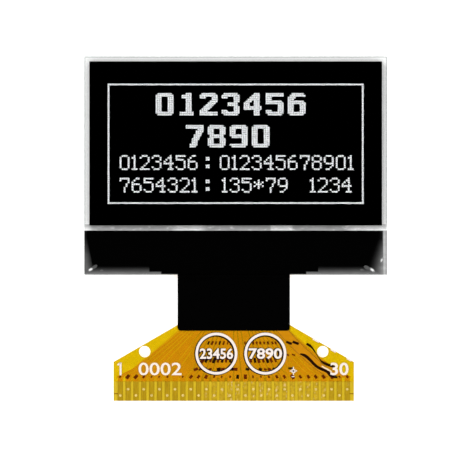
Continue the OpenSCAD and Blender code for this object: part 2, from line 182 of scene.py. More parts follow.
class PrintSettings(bpy.types.PropertyGroup):
    """The white print on the tail"""

    ink: colour("Ink", "Colour of the print", (0.72, 0.64, 0.60))
    ink_height: length("Ink Height", "Thickness of the print", 0.008 * MM)
    ring_d: length("Ring Diameter", "Outer diameter of a printed ring", 3.7 * MM)
    ring_line: length("Ring Line", "Width of a printed ring's line", 0.23 * MM)
    # The dark edge round the print is a painted shadow, shifted to the lower left
    halo: length("Shadow Width", "Width of the dark edge round the rings and their digits", 0.11 * MM)
    ring_text: length("Ring Text", "Height of the digits in the rings", 0.95 * MM)
    ring_text_w: length("Ring Text Width", "Width of the digits in a ring", 2.95 * MM)
    pin_text: length("Pin Text", "Height of the pin numbers", 1.12 * MM)
    left_mark: signs("Left Mark", "Digits in the left ring", "23456")
    right_mark: signs("Right Mark", "Digits in the right ring", "7890")
    count_mark: signs("Count Mark", "Digits beside the first pin", "0002")


class StageSettings(bpy.types.PropertyGroup):
    """Floor, light and camera"""

    floor: colour("Floor", "Colour of the floor", (0.82, 0.82, 0.82))
    floor_glow: amount("Floor Glow", "Light that the floor itself gives", 0.6)
    sky: amount("Sky", "Light of the softbox dome", 1.55)
    mirrored_sky: share("Mirrored Sky", "Share of the dome's light that glossy surfaces mirror", 0.2)
    key: amount("Key", "Power of the key light", 1.3, "POWER")
    lens: amount("Lens", "Focal length of the camera in mm", 200.0, low=1.0)
    view_w: length("View Width", "Width of the view at the object", 40.56 * MM)
    view_x: place("View X", "Place of the camera along X", -0.50 * MM)
    view_y: place("View Y", "Place of the camera along Y", -5.68 * MM)


# --- Making nodes ---


def plug(tree, socket, value):
    """Links an input to a socket, or sets its value."""
    if isinstance(value, bpy.types.NodeSocket):
        tree.links.new(value, socket)
    elif socket.type == "RGBA" and len(value) == 3:
        socket.default_value = (*value, 1.0)
    else:
        socket.default_value = value


def add_node(tree, kind, inputs=None, **settings):
    """Adds a node, changes its settings, and fills its inputs, given by name or number."""
    node = tree.nodes.new(kind)
    for name, value in settings.items():
        setattr(node, name, value)
    for name, value in (inputs or {}).items():
        plug(tree, node.inputs[name], value)
    return node


def calculate(tree, operation, *values):
    return add_node(tree, "ShaderNodeMath", dict(enumerate(values)), operation=operation).outputs[0]


def product(tree, first, *others):
    for other in others:
        first = calculate(tree, "MULTIPLY", first, other)
    return first


def largest(tree, first, *others):
    for other in others:
        first = calculate(tree, "MAXIMUM", first, other)
    return first


def away(tree, value, middle):
    """Distance of a value from the middle."""
    return calculate(tree, "ABSOLUTE", calculate(tree, "SUBTRACT", value, middle))


def vector_math(tree, operation, *values):
    return add_node(tree, "ShaderNodeVectorMath", dict(enumerate(values)), operation=operation).outputs[0]


def mix_colours(tree, factor, a, b, blend="MIX"):
    inputs = {0: factor, 6: a, 7: b}
    return add_node(tree, "ShaderNodeMix", inputs, data_type="RGBA", blend_type=blend).outputs[2]


def mix_shaders(tree, factor, a, b):
    return add_node(tree, "ShaderNodeMixShader", {0: factor, 1: a, 2: b}).outputs[0]


def map_range(tree, value, low, high, out_low, out_high):
    inputs = {"Value": value, "From Min": low, "From Max": high, "To Min": out_low, "To Max": out_high}
    return add_node(tree, "ShaderNodeMapRange", inputs).outputs[0]


def near(tree, value, middle, inner, outer, peak=1.0, rest=0.0):
    """The peak within the inner distance of the middle, and the rest past the outer one."""
    return map_range(tree, away(tree, value, middle), inner, outer, peak, rest)


def place_in_mm(tree):
    """Object coordinates in millimetres."""
    found = tree.nodes.new("ShaderNodeTexCoord").outputs["Object"]
    return vector_math(tree, "MULTIPLY", found, (1 / MM, 1 / MM, 1 / MM))


def separate(tree, vector):
    """Outputs X, Y and Z of a vector."""
    return add_node(tree, "ShaderNodeSeparateXYZ", {0: vector}).outputs


# --- Shared effects, as node groups ---


def new_group(name, inputs, outputs):
    """A node group with its sockets; returns it with the sockets of its input and output nodes."""
    group = bpy.data.node_groups.new(name, "ShaderNodeTree")
    for label, kind, default in inputs:
        socket = group.interface.new_socket(label, in_out="INPUT", socket_type="NodeSocket" + kind)
        socket.default_value = default
    for label, kind in outputs:
        group.interface.new_socket(label, in_out="OUTPUT", socket_type="NodeSocket" + kind)
    return group, group.nodes.new("NodeGroupInput").outputs, group.nodes.new("NodeGroupOutput").inputs


def grain_group():
    """Uneven colour and value from noise; its scale is in spots per millimetre."""
    group, given, result = new_group("Grain", (
        ("Dark", "Color", (0.0, 0.0, 0.0, 1.0)), ("Light", "Color", (1.0, 1.0, 1.0, 1.0)),
        ("Low", "Float", 0.0), ("High", "Float", 1.0), ("Scale", "Float", 1.0),
        ("Stretch", "Vector", (1.0, 1.0, 1.0)), ("Detail", "Float", 3.0),
    ), (("Color", "Color"), ("Value", "Float"), ("Mask", "Float")))
    stretched = vector_math(group, "MULTIPLY", place_in_mm(group), given["Stretch"])
    noise = add_node(group, "ShaderNodeTexNoise", {"Vector": stretched, "Scale": given["Scale"],
                                                   "Detail": given["Detail"], "Roughness": 0.6})
    mask = map_range(group, noise.outputs[0], 0.3, 0.7, 0.0, 1.0)
    plug(group, result["Color"], mix_colours(group, mask, given["Dark"], given["Light"]))
    plug(group, result["Value"], map_range(group, mask, 0.0, 1.0, given["Low"], given["High"]))
    plug(group, result["Mask"], mask)
    return group


def border_group():
    """Distance inwards from the nearest side of a rectangle, in millimetres; less than 0 outside it."""
    group, given, result = new_group("Border", (
        ("Centre", "Vector", (0.0, 0.0, 0.0)), ("Half Size", "Vector", (1.0, 1.0, 1.0)),
    ), (("Distance", "Float"),))
    offset = vector_math(group, "SUBTRACT", place_in_mm(group), given["Centre"])
    offset = vector_math(group, "ABSOLUTE", offset)
    left = separate(group, vector_math(group, "SUBTRACT", given["Half Size"], offset))
    plug(group, result["Distance"], calculate(group, "MINIMUM", left["X"], left["Y"]))
    return group


def facing_group():
    """Masks of the faces along +Z, along -Z and sideways; Outward is -1 for a face met from behind."""
    group, given, result = new_group("Facing", (("Outward", "Float", 1.0),), (
        ("Up", "Float"), ("Down", "Float"), ("Side", "Float")))
    met = separate(group, group.nodes.new("ShaderNodeTexCoord").outputs["Normal"])["Z"]
    rise = product(group, met, given["Outward"])
    level = calculate(group, "ABSOLUTE", rise)
    plug(group, result["Up"], map_range(group, rise, 0.4, 0.6, 0.0, 1.0))
    plug(group, result["Down"], map_range(group, rise, -0.6, -0.4, 1.0, 0.0))
    plug(group, result["Side"], map_range(group, level, 0.4, 0.6, 1.0, 0.0))
    return group


GROUP_MAKERS = {"Grain": grain_group, "Border": border_group, "Facing": facing_group}


def use_group(tree, name, **inputs):
    """Places a shared effect in a material, and makes it the first time."""
    node = tree.nodes.new("ShaderNodeGroup")
    node.node_tree = bpy.data.node_groups.get(name) or GROUP_MAKERS[name]()
    for label, value in inputs.items():
        plug(tree, node.inputs[label.replace("_", " ")], value)
    return node.outputs


def from_sides(tree, low, high):
    """Distance inwards from the nearest side of a box as seen from above, in millimetres."""
    middle, half = (low + high) / 2 / MM, (high - low) / 2 / MM
    return use_group(tree, "Border", Centre=middle, Half_Size=half)["Distance"]


def inside(tree, x, y, half_x, half_y):
    """Mask of a rectangle, given in millimetres by its middle and half its size."""
    found = use_group(tree, "Border", Centre=(x, y, 0.0), Half_Size=(half_x, half_y, 1.0))
    return map_range(tree, found["Distance"], -0.03, 0.03, 0.0, 1.0)


# --- Materials ---

WHITE = (1.0, 1.0, 1.0)
FILM_IOR = 1.45
GLASS_IOR = 1.5


def new_look(name):
    """An empty material; returns it with its tree."""
    material = bpy.data.materials.new(name)
    material.use_nodes = True
    material.node_tree.nodes.clear()
    return material, material.node_tree


def show(tree, shader):
    add_node(tree, "ShaderNodeOutputMaterial", {"Surface": shader})


def shades(base, spread):
    """A darker and a lighter shade of a colour."""
    return tuple(c * (1 - spread) for c in base), tuple(min(c * (1 + spread), 1.0) for c in base)


def bump(tree, height, relief):
    """Normals of a relief, whose height is given in millimetres."""
    inputs = {"Height": height, "Distance": relief * MM, "Strength": 1.0}
    return add_node(tree, "ShaderNodeBump", inputs).outputs[0]


def principled(tree, **values):
    """A Principled shader; an underscore in a name stands for a space."""
    inputs = {name.replace("_", " "): value for name, value in values.items()}
    return add_node(tree, "ShaderNodeBsdfPrincipled", inputs).outputs[0]


def grained(tree, base, spread=0.1, roughness=(0.4, 0.5), scale=4.0, stretch=(1, 1, 1), detail=3.0,
            relief=0.0, **values):
    """A Principled shader with uneven colour and roughness, and a relief in millimetres."""
    dark, light = shades(base, spread)
    grain = use_group(tree, "Grain", Dark=dark, Light=light, Low=roughness[0], High=roughness[1],
                      Scale=scale, Stretch=stretch, Detail=detail)
    if relief:
        values["Normal"] = bump(tree, grain["Mask"], relief)
    return principled(tree, Base_Color=grain["Color"], Roughness=grain["Value"], **values)


def solid_look(name, base, **values):
    """A solid material of one grained shader."""
    material, tree = new_look(name)
    show(tree, grained(tree, base, **values))
    return material


def outward_sign(tree):
    """1 for a face met from its outside and -1 from behind, so that a thin layer acts at one of its faces."""
    behind = tree.nodes.new("ShaderNodeNewGeometry").outputs["Backfacing"]
    return map_range(tree, behind, 0.0, 1.0, 1.0, -1.0)


def mirror_share(tree, outward, ior):
    """Share of the light that the outside of a clear piece reflects."""
    outside = largest(tree, outward, 0.0)
    return product(tree, outside, add_node(tree, "ShaderNodeFresnel", {"IOR": ior}).outputs[0])


def clear_and_gloss(tree, seen, tint, gloss, roughness, ior):
    """A clear face that tints what is seen through it and mirrors on its outside."""
    clear = add_node(tree, "ShaderNodeBsdfTransparent", {"Color": tint}).outputs[0]
    mirror = add_node(tree, "ShaderNodeBsdfGlossy", {"Color": gloss, "Roughness": roughness}).outputs[0]
    return mix_shaders(tree, mirror_share(tree, seen, ior), clear, mirror)


def polarizer_look(settings):
    """Black film that lets the light of the dots out, and stops what comes back from the layers behind it."""
    material, tree = new_look("polarizer_black")
    outward = outward_sign(tree)
    facing = use_group(tree, "Facing", Outward=outward)
    leaving = map_range(tree, outward, -1.0, 1.0, 1.0, 0.0)
    shade = mix_colours(tree, leaving, settings.through, settings.back)
    tint = mix_colours(tree, facing["Up"], WHITE, shade)
    grain = use_group(tree, "Grain", Low=0.03, High=0.06, Scale=0.8)
    front = clear_and_gloss(tree, outward, tint, (0.9, 0.9, 0.9), grain["Value"], FILM_IOR)
    side = grained(tree, settings.film, spread=0.3, roughness=(0.2, 0.3), scale=6.0)
    show(tree, mix_shaders(tree, facing["Side"], front, side))
    return material


def layer_look(name, base, face, front, side, **values):
    """A thin clear layer, tinted at its Up or Down face and along its sides."""
    material, tree = new_look(name)
    facing = use_group(tree, "Facing", Outward=outward_sign(tree))
    alpha = calculate(tree, "ADD", product(tree, facing[face], front), product(tree, facing["Side"], side))
    show(tree, grained(tree, base, Alpha=alpha, **values))
    return material


def glass_look(name, settings, low, high, arris, hollow=0.0):
    """Clear glass with frosted edges, an arris of the given strength, and a frosted hollow below a height."""
    material, tree = new_look(name)
    outward = outward_sign(tree)
    facing = use_group(tree, "Facing", Outward=outward)
    inwards = from_sides(tree, low, high)
    wide = settings.arris / MM
    ground = product(tree, map_range(tree, inwards, wide, wide + 0.02, 1.0, 0.0), arris)
    sawn = product(tree, facing["Side"], map_range(tree, outward, -1.0, 1.0, 0.0, 0.6))
    frost = largest(tree, sawn, ground)
    if hollow:
        deep = calculate(tree, "LESS_THAN", separate(tree, place_in_mm(tree))["Z"], hollow / MM)
        frost = largest(tree, frost, product(tree, facing["Up"], deep, 0.3))
    rim = map_range(tree, inwards, 0.03, 0.06, 1.0, 0.0)
    darkest, dark, light = shades(settings.edge, 0.7)[0], *shades(settings.edge, 0.2)
    grain = use_group(tree, "Grain", Dark=mix_colours(tree, rim, dark, darkest),
                      Light=mix_colours(tree, rim, light, dark), Low=0.25, High=0.5, Scale=9.0,
                      Stretch=(1.0, 1.0, 0.25))
    colour_there = mix_colours(tree, facing["Side"], grain["Color"], settings.sawn)
    cut = principled(tree, Base_Color=colour_there, Roughness=grain["Value"],
                     Normal=bump(tree, grain["Mask"], 0.002))
    clear = clear_and_gloss(tree, outward, settings.tint, WHITE, 0.03, GLASS_IOR)
    show(tree, mix_shaders(tree, frost, clear, cut))
    return material


def seal_look(settings):
    """Cured seal with small bubbles inwards: paler towards the glass edge and darker inwards, a painted shade
    towards the polarizer's edge.
    """
    material, tree = new_look("seal_grey")
    dark, light = shades(settings.seal, 0.16)
    painted_light_outwards = map_range(tree, from_sides(tree, CAP_LOW, CAP_HIGH), 0.14, 0.5, 1.0, 0.0)
    bubbles = use_group(tree, "Grain", Dark=dark, Light=settings.seal, Low=0.3, High=0.5, Scale=5.0,
                        Detail=4.0)
    show(tree, principled(tree, Base_Color=mix_colours(tree, painted_light_outwards, bubbles["Color"], light),
                          Roughness=bubbles["Value"]))
    return material


# Parts of the ledge that stay black over the tail: height of the middle above the lower edge of the glass,
# half the width and half the height, in millimetres
BLACK_PARTS = ((2.0, 7.45, 1.73), (2.0, 6.4, 1.94), (0.0, 4.95, 3.0))

# Brighter stretches of the seal band above the coat, painted highlights where the leads cross the seal:
# middle, half the length and soft part of it, in millimetres
LEAD_HIGHLIGHTS = ((-4.1, 1.7, 0.7), (4.05, 1.05, 0.15), (11.9, 2.5, 1.1), (-13.2, 0.6, 0.5))


def thin_coat(tree, x, y):
    """How grey the coat is where it thins along the foot and both sides of the ledge: painted light of the
    floor showing through the thinner coat, and a pale strip along the right edge painted for the floor seen
    through bare glass.
    """
    low, high = GLASS_LOW / MM, GLASS_HIGH / MM
    foot = map_range(tree, y, low.y, low.y + 0.82, 1.0, 0.0)
    foot = product(tree, calculate(tree, "POWER", foot, 2.3), 0.2)
    slant = map_range(tree, y, low.y, low.y + 3.3, low.x + 0.95, low.x + 0.25)
    left = map_range(tree, calculate(tree, "SUBTRACT", slant, x), 0.0, 0.6, 0.0, 1.0)
    left = product(tree, left, map_range(tree, y, low.y + 1.8, low.y + 3.4, 0.092, 0.03))
    start = map_range(tree, y, low.y, low.y + 3.2, high.x - 2.3, high.x - 1.0)
    right = calculate(tree, "POWER", map_range(tree, x, start, high.x - 0.4, 0.0, 1.0), 3.6)
    right = product(tree, right, map_range(tree, y, low.y, low.y + 3.2, 0.25, 0.01))
    # The strip is painted light of the floor seen through the glass beyond the resin
    strip = map_range(tree, x, high.x - 0.41, high.x - 0.3, 0.0, 0.38)
    strip = product(tree, strip, near(tree, x, high.x - 0.24, 0.04, 0.24, 1.1, 0.65))
    black = [inside(tree, TAIL_X / MM, low.y + up, half_x, half_y) for up, half_x, half_y in BLACK_PARTS]
    free = calculate(tree, "SUBTRACT", 1.0, largest(tree, *black))
    return product(tree, largest(tree, foot, left, right, strip), free)


def seal_band(tree, x, y):
    """How bright the coat is painted over the seal strip: the pale seal with painted highlights and glints of
    the leads, and painted shade towards the polarizer's edge.
    """
    stretches = [near(tree, x, at, half - soft, half) for at, half, soft in LEAD_HIGHLIGHTS]
    bright = map_range(tree, largest(tree, *stretches), 0.0, 1.0, 0.45, 0.8)
    # The specks are painted glints
    specks = use_group(tree, "Grain", Low=-0.6, High=0.35, Scale=1.6, Stretch=(1.0, 2.5, 1.0), Detail=4.0)
    speck = largest(tree, specks["Value"], 0.0)
    # Darker towards the polarizer's edge: painted shade
    shade_near_film = map_range(tree, y, CAP_LOW.y / MM + 0.1, FILM_LOW.y / MM, 1.05, 0.6)
    return product(tree, calculate(tree, "ADD", bright, speck), shade_near_film)


def coat_look(settings):
    """Black coat under the ledge, with painted light where it thins to grey, and the seal's pale band above
    it, with painted highlights and shade.
    """
    material, tree = new_look("ledge_coat")
    place = separate(tree, place_in_mm(tree))
    x, y = place["X"], place["Y"]
    start, soft = CAP_LOW.y / MM, 0.01
    grey = map_range(tree, y, start - soft, start + soft, thin_coat(tree, x, y), seal_band(tree, x, y))
    grain = use_group(tree, "Grain", Low=0.86, High=1.14, Scale=3.0, Stretch=(0.3, 1.0, 1.0), Detail=4.0)
    shade = mix_colours(tree, product(tree, grey, grain["Value"]), settings.resin, WHITE)
    show(tree, principled(tree, Base_Color=shade, Roughness=0.15, Specular_IOR_Level=0.1))
    return material


def streaked(tree, base):
    """Darkens a colour in thin streaks along the pads."""
    streak = use_group(tree, "Grain", Low=0.0, High=0.5, Scale=1.6, Stretch=(4.5, 0.25, 1.0))
    return mix_colours(tree, streak["Value"], base, (0.62, 0.56, 0.4), "MULTIPLY")


def pad_look(settings):
    """Plated pads: olive at both ends of the row, paler and mottled between, darker along their sides."""
    material, tree = new_look("plated_pads")
    x = separate(tree, place_in_mm(tree))["X"]
    pin = calculate(tree, "DIVIDE", calculate(tree, "SUBTRACT", x, TAIL_X / MM), PIN_PITCH / MM)
    side = near(tree, calculate(tree, "FRACT", pin), 0.5, 0.2, 0.33, 0.0, 0.35)
    worn = map_range(tree, pin, -4.5, -2.5, 0.0, 1.0)
    worn = product(tree, worn, map_range(tree, pin, 11.3, 12.6, 1.0, 0.25))
    dark, light = shades(settings.pads, 0.12)
    fine = use_group(tree, "Grain", Dark=dark, Light=light, Scale=5.0, Stretch=(2.5, 0.4, 1.0))
    dark, light = shades(settings.worn_pads, 0.26)[0], shades(settings.worn_pads, 0.2)[1]
    mottle = use_group(tree, "Grain", Dark=dark, Light=light, Low=0.35, High=0.5, Scale=3.5, Detail=5.0)
    base = mix_colours(tree, worn, fine["Color"], mottle["Color"])
    specks = use_group(tree, "Grain", Low=-1.9, High=0.8, Scale=2.4, Stretch=(2.0, 1.0, 1.0), Detail=4.0)
    speck = product(tree, largest(tree, specks["Value"], 0.0), worn)
    base = mix_colours(tree, speck, base, (0.7, 0.5, 0.22))
    base = mix_colours(tree, side, streaked(tree, base), shades(settings.pads, 0.6)[0])
    show(tree, principled(tree, Base_Color=base, Roughness=mottle["Value"], Specular_IOR_Level=0.15,
                          Normal=bump(tree, mottle["Mask"], 0.001)))
    return material


def inside_fan(tree, x, y):
    """Mask of the part of the flare between the outermost traces."""
    reach = map_range(tree, y, PADS_HIGH.y / MM + 0.8, SHIELD_LOW.y / MM, 9.2, 4.95)
    left = calculate(tree, "SUBTRACT", reach, away(tree, x, TAIL_X / MM))
    return map_range(tree, left, -0.12, 0.12, 0.0, 0.95)


def film_look(settings):
    """Base film: bright under the cover film, redder between the traces, duller bare between the pads."""
    material, tree = new_look("tail_film")
    place = separate(tree, place_in_mm(tree))
    x, y = place["X"], place["Y"]
    edge, soft = PADS_HIGH.y / MM, 0.02
    covered = map_range(tree, y, edge - soft, edge + soft, 0.0, 1.0)
    dark, light = shades(settings.film, 0.06)
    grain = use_group(tree, "Grain", Dark=dark, Light=light, Low=0.35, High=0.5, Scale=1.5)
    round_rings = near(tree, x, TAIL_X / MM + 0.63, 3.6, 4.6)
    shaded = product(tree, round_rings, use_group(tree, "Facing")["Up"])
    fan = mix_colours(tree, shaded, settings.fan_film, settings.fan_shade)
    under = mix_colours(tree, inside_fan(tree, x, y), grain["Color"], fan)
    base = mix_colours(tree, covered, streaked(tree, settings.bare_film), under)
    show(tree, principled(tree, Base_Color=base, Roughness=grain["Value"], Specular_IOR_Level=0.1,
                          Normal=bump(tree, grain["Mask"], 0.0008)))
    return material


def lit_look(settings):
    """Light of the dots, a little uneven from dot to dot."""
    material, tree = new_look("dot_light")
    dark, light = shades(settings.glow, 0.05)
    grain = use_group(tree, "Grain", Dark=dark, Light=light, Scale=3.0, Detail=1.0)
    show(tree, principled(tree, Base_Color=(0.02, 0.02, 0.02), Roughness=0.5, Emission_Color=grain["Color"],
                          Emission_Strength=settings.brightness / settings.through[1]))
    return material


def mark_look(settings):
    """Dark brown of the marks and of the painted shadows under the print, made once."""
    middle = tuple(2 * c for c in settings.mark)
    return bpy.data.materials.get("mark_dark") or solid_look(
        "mark_dark", middle, spread=0.5, roughness=(0.3, 0.4), scale=2.0, Specular_IOR_Level=0.05)


def ink_look(settings):
    """White print ink, made once."""
    return bpy.data.materials.get("print_white") or solid_look(
        "print_white", settings.ink, spread=0.05, roughness=(0.45, 0.6), scale=12.0, relief=0.0008)


# --- Making and placing pieces ---


def to_mesh(name, bm):
    mesh = bpy.data.meshes.new(name)
    bm.to_mesh(mesh)
    bm.free()
    return mesh


def add_object(name, data):
    thing = bpy.data.objects.new(name, data)
    bpy.context.scene.collection.objects.link(thing)
    return thing


def add_piece(name, shape, slot, material):
    """Makes the finished piece from a bmesh or a mesh, which already holds its place."""
    if isinstance(shape, bmesh.types.BMesh):
        bmesh.ops.recalc_face_normals(shape, faces=shape.faces)
        shape = to_mesh(name, shape)
    piece = add_object(name, shape)
    shape.materials.clear()
    shape.materials.append(material)
    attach(piece, "root")


def turned(at, size, turn):
    """The matrix that gives a shape its size, its turn in degrees and its place."""
    spin = Matrix.Rotation(math.radians(turn), 4, "Z")
    return Matrix.Translation(at) @ spin @ Matrix.Diagonal((*size, 1.0))


def add_box(bm, middle, size, turn=0):
    bmesh.ops.create_cube(bm, size=1.0, matrix=turned(middle, size, turn))


def add_bar(bm, at, size_x, size_y, height, turn=0):
    """A flat bar that stands on a point and is turned by an angle in degrees."""
    add_box(bm, at + Vector((0, 0, height / 2)), (size_x, size_y, height), turn)


def add_blob(bm, middle, radii, turn=0):
    """A rounded lens shape; its three radii are in millimetres."""
    matrix = turned(middle, Vector(radii) * MM, turn)
    bmesh.ops.create_uvsphere(bm, u_segments=16, v_segments=8, radius=1.0, matrix=matrix)


def lift(bm, extruded, rise):
    """Raises the new vertices of an extruded part."""
    verts = [v for v in extruded["geom"] if isinstance(v, bmesh.types.BMVert)]
    bmesh.ops.translate(bm, verts=verts, vec=(0, 0, rise))


def flat_ring(centre, outer, inner, height):
    """A flat ring that stands on its centre's level."""
    bm = bmesh.new()
    edges = []
    for radius in (outer, inner):
        made = bmesh.ops.create_circle(bm, radius=radius, segments=96, matrix=Matrix.Translation(centre))
        edges += list({edge for vert in made["verts"] for edge in vert.link_edges})
    faces = bmesh.ops.bridge_loops(bm, edges=edges)["faces"]
    lift(bm, bmesh.ops.extrude_face_region(bm, geom=faces), height)
    return bm


def curve_mesh(curve):
    """The mesh of a curve or text, which is then removed."""
    holder = add_object(curve.name, curve)
    mesh = bpy.data.meshes.new_from_object(holder.evaluated_get(bpy.context.evaluated_depsgraph_get()))
    bpy.data.objects.remove(holder)
    bpy.data.curves.remove(curve)
    return mesh


def text_mesh(body, size, thickness, at, weight=0.0):
    """Digits as a closed mesh of the given size, centred at a point; weight thickens their strokes."""
    curve = bpy.data.curves.new("digits", "FONT")
    curve.body = body
    curve.align_x, curve.align_y = "CENTER", "CENTER"
    curve.offset = weight
    curve.resolution_u = 4
    curve.extrude = 0.5
    mesh = curve_mesh(curve)
    low = Vector(map(min, *(v.co for v in mesh.vertices)))
    high = Vector(map(max, *(v.co for v in mesh.vertices)))
    mesh.transform(Matrix.Translation(-(low + high) / 2))
    mesh.transform(Matrix.Diagonal((size[0] / (high.x - low.x), size[1] / (high.y - low.y), thickness, 1.0)))
    mesh.transform(Matrix.Translation(at + Vector((0, 0, thickness / 2))))
    return mesh


def ribbon_mesh(name, points, wide, height):
    """A flat strip on the cover film along points beside the tail's right edge."""
    curve = bpy.data.curves.new(name, "CURVE")
    curve.dimensions = "3D"
    curve.bevel_depth = wide / 2
    curve.bevel_resolution = 2
    curve.use_fill_caps = True
    spline = curve.splines.new("NURBS")
    spline.points.add(len(points) - 1)
    for point, (left, up, thickness) in zip(spline.points, points):
        point.co = (TAIL_HIGH.x - left * MM, PADS_HIGH.y + up * MM, 0.0, 1.0)
        point.radius = thickness
    spline.order_u = 3
    spline.use_endpoint_u = True
    mesh = curve_mesh(curve)
    mesh.transform(Matrix.Diagonal((1.0, 1.0, height / wide, 1.0)))
    mesh.transform(Matrix.Translation((0.0, 0.0, COVER_HIGH.z + height / 2)))
    return mesh


def finish_nodes(material, *names):
    """Gives the CAD nodes their material."""
    for name in names:
        mesh = NODES[name].data
        mesh.materials.clear()
        mesh.materials.append(material)


def solid_finish(look, base, *names, **values):
    """Gives the CAD nodes a solid material."""
    finish_nodes(solid_look(look, base, **values), *names)


def part_faces(*names, gap=0.0005 * MM):
    """Draws the faces of clear nodes inwards by a modifier, so that none coincides with what it touches."""
    for name in names:
        modifier = NODES[name].modifiers.new("contact_gap", "DISPLACE")
        modifier.strength = -gap
        modifier.mid_level = 0.0


# --- What the dots show ---

# Rows of each sign from the top down; 8*## stands for eight rows of ##. Large digits are 9 dots wide, 12 high
LARGE_DIGITS = {
    "0": ".#######. ######### 8*###...### ######### .#######.",
    "1": "....###.. 2*..#####.. 7*....###.. 2*.#######.",
    "2": ".#######. ######### ###...### ......### .....#### ....####. ...####.. ..####... .####.... "
         "####..... 2*#########",
    "3": ".#######. ######### ###...### 2*......### 2*...#####. 2*......### ###...### ######### .#######.",
    "4": ".....###. ....####. ...#####. ..######. .###.###. 2*###..###. 2*######### 3*.....###.",
    "5": "2*######### 2*###...... ########. ######### 3*......### ###...### ######### .#######.",
    "6": "..######. .######## ####..... ###...... ########. ######### 4*###...### ######### .#######.",
    "7": "2*######### ......### .....#### .....###. ....####. ....###.. ...####.. 2*...###... ..####... "
         "..###....",
    "8": ".#######. ######### 3*###...### 2*.#######. 3*###...### ######### .#######.",
    "9": ".#######. ######### 3*###...### ######### .######## 3*......### ######### .#######.",
}

# Small signs are up to 5 dots wide and 8 high
SMALL_SIGNS = {
    "0": ".###. 6*#...# .###.",
    "1": ".#. ##. 5*.#. ###",
    "2": ".###. #...# 2*....# ...#. ..#.. .#... #####",
    "3": ".###. #...# ....# ..##. 2*....# #...# .###.",
    "4": "...#. ..##. .#.#. #..#. ##### 2*...#. ..###",
    "5": "##### #.... ####. 3*....# #...# .###.",
    "6": "..##. .#... #.... ####. 3*#...# .###.",
    "7": "##### #...# ....# 2*...#. 3*..#..",
    "8": ".###. 2*#...# .###. 3*#...# .###.",
    "9": ".###. 3*#...# .#### ....# ...#. .##..",
    "*": "..... ..#.. #.#.# .###. #.#.# ..#.. 2*.....",
    ":": ".. 2*## 2*.. 2*## ..",
}

# Setting, signs, gap between them, lowest row, and first column of each word of a line
LINES = (
    ("line_1", LARGE_DIGITS, 2, 47, (24,)),
    ("line_2", LARGE_DIGITS, 2, 30, (39,)),
    ("line_3", SMALL_SIGNS, 1, 18, (6, 49, 56)),
    ("line_4", SMALL_SIGNS, 1, 6, (6, 49, 57, 101)),
)


def sign_rows(pattern):
    """The rows of a sign, with the repeated ones written out."""
    rows = []
    for part in pattern.split():
        count, _, row = part.rpartition("*")
        rows += [row] * int(count or 1)
    return rows


def text_dots(text, signs, column, row, gap):
    """The (column, row) of each lit dot of a line of text, whose lower left dot is given."""
    for sign in text:
        rows = sign_rows(signs[sign])
        for up, line in enumerate(reversed(rows)):
            for across, mark in enumerate(line):
                if mark == "#":
                    yield column + across, row + up
        column += len(rows[0]) + gap


def frame_dots():
    """The dots along the outline of the display."""
    for column in range(DOT_COLUMNS):
        yield column, 0
        yield column, DOT_ROWS - 1
    for row in range(1, DOT_ROWS - 1):
        yield 0, row
        yield DOT_COLUMNS - 1, row


class OLED_OT_dot_mask(bpy.types.Operator):
    """Put a black sheet round the dots, with a rim up to the polarizer: painted shade for the light that the
    polarizer stops
    """

    bl_idname = "oled.dot_mask"
    bl_label = "Dot Mask"

    def execute(self, context):
        level, rim = GLASS_LOW.z + 0.006 * MM, GLASS_HIGH.z - 0.002 * MM
        sheet, overlap = 0.002 * MM, 0.03 * MM
        margin = 0.005 * MM
        bm = bmesh.new()
        bmesh.ops.create_grid(bm, x_segments=1, y_segments=1, size=0.5)
        field = bm.faces[:][0]
        bmesh.ops.inset_region(bm, faces=[field], use_boundary=True, thickness=0.1)
        inner = set(field.verts)
        bmesh.ops.delete(bm, geom=[field], context="FACES_ONLY")
        dots_low, dots_high = Vector((COLUMNS_LOW.x, ROWS_LOW.y)), Vector((COLUMNS_HIGH.x, ROWS_HIGH.y))
        for vert in bm.verts:
            low, high, gap = FILM_LOW, FILM_HIGH, margin
            if vert in inner:
                low, high, gap = dots_low, dots_high, -overlap
            vert.co = (low.x + gap if vert.co.x < 0 else high.x - gap,
                       low.y + gap if vert.co.y < 0 else high.y - gap, level)
        edges = [edge for edge in bm.edges if not inner & set(edge.verts)]
        lift(bm, bmesh.ops.extrude_edge_only(bm, edges=edges), rim - level)
        bmesh.ops.solidify(bm, geom=bm.faces[:], thickness=sheet)
        # The sheet is painted shade: black where the polarizer stops the light from the seal and leads behind
        # it
        mask = solid_look("mask_black", context.scene.oled_glass.resin, spread=0.3, roughness=(0.5, 0.6),
                          scale=3.0, Specular_IOR_Level=0.05)
        add_piece("dot_mask", bm, "black_resin", mask)
        return {"FINISHED"}


class OLED_OT_lit_dots(bpy.types.Operator):
    """Light the dots of the outline and of the four lines of digits"""

    bl_idname = "oled.lit_dots"
    bl_label = "Lit Dots"

    def execute(self, context):
        settings = context.scene.oled_display
        pitch_x = (COLUMNS_HIGH.x - COLUMNS_LOW.x + settings.column_gap) / DOT_COLUMNS
        pitch_y = (ROWS_HIGH.y - ROWS_LOW.y + settings.row_gap) / DOT_ROWS
        size = Vector((pitch_x - settings.column_gap, pitch_y - settings.row_gap, settings.dot_height))
        lit = [*frame_dots()]
        for name, signs, gap, row, columns in LINES:
            for word, column in zip(getattr(settings, name).split(), columns):
                lit += text_dots(word, signs, column, row, gap)
        bm = bmesh.new()
        first = Vector((COLUMNS_LOW.x, ROWS_LOW.y, ROWS_HIGH.z + MICRON)) + size / 2
        for column, row in lit:
            add_box(bm, first + Vector((column * pitch_x, row * pitch_y, 0)), size)
        add_piece("lit_dots", bm, "dot_light", lit_look(settings))
        return {"FINISHED"}


# --- Finishes of the CAD nodes ---


